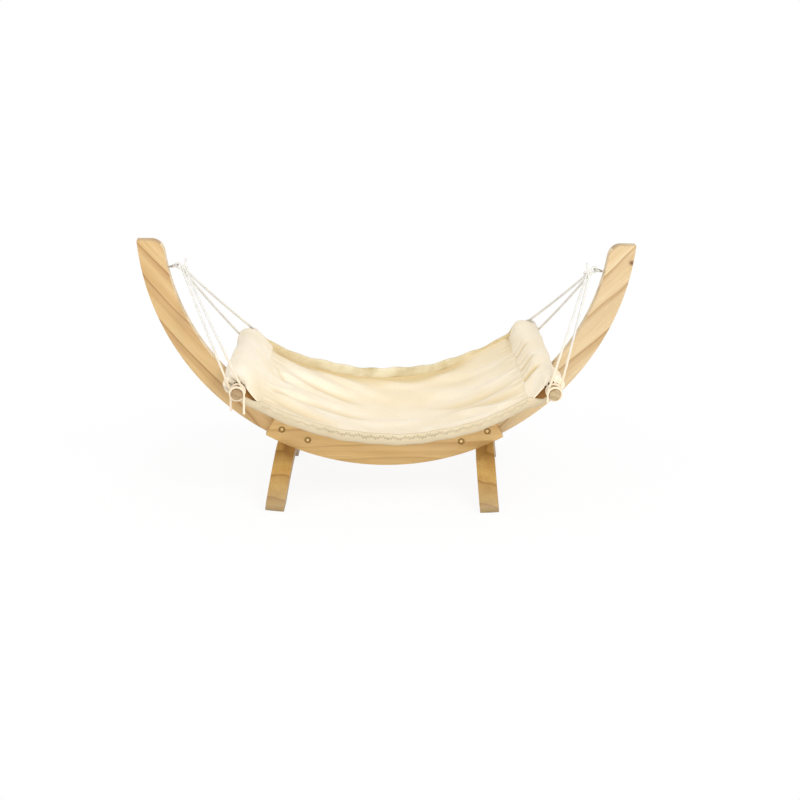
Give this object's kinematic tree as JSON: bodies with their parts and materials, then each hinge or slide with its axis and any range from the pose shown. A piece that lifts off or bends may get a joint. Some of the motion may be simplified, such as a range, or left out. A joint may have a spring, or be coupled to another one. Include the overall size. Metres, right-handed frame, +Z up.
{
  "type": "cat hammock",
  "caption": "Crescent-shaped wooden frame on arched feet that carries a sagging cotton bed on dowels and ropes, so that a cat can lie and swing in it.",
  "frame": {"origin": "on the floor, under the middle of the crescent", "axes": "+X along the crescent to the right as seen in the picture, +Y to the back, +Z up"},
  "size_m": [0.7492, 0.3364, 0.378],
  "materials": {
    "frame_pine": "clear satin pine with straight grain",
    "foot_pine": "clear satin pine, darker than the frame",
    "steel": "zinc-plated steel",
    "dowel_wood": "plain sanded dowel",
    "cloth": "soft cream cotton plush",
    "hem": "sewn cotton hem",
    "rope": "twisted white cotton rope"
  },
  "bodies": {
    "frame": {"left_arm": "frame_pine", "right_arm": "frame_pine", "front_plate": "frame_pine", "rear_plate": "frame_pine", "left_foot": "foot_pine", "right_foot": "foot_pine", "frame_bolts": "steel", "frame_washers": "steel", "frame_nuts": "steel", "foot_screws": "steel", "left_screw_eye": "steel", "right_screw_eye": "steel"},
    "hammock": {"left_dowel": "dowel_wood", "right_dowel": "dowel_wood", "bed_cloth": "cloth", "left_sleeve": "cloth", "right_sleeve": "cloth", "front_hem": "hem", "rear_hem": "hem", "left_knot": "rope", "right_knot": "rope", "left_hang_loop": "rope", "right_hang_loop": "rope", "left_front_outer_rope": "rope", "left_front_inner_rope": "rope", "left_rear_outer_rope": "rope", "left_rear_inner_rope": "rope", "right_front_outer_rope": "rope", "right_front_inner_rope": "rope", "right_rear_outer_rope": "rope", "right_rear_inner_rope": "rope"}
  },
  "joints": [
    {"name": "hammock_swing", "type": "hinge", "parent": "frame", "child": "hammock", "pos_m": [0, 0, 0.33938], "axis": [1, 0, 0], "range_deg": [-12, 12]}
  ]
}
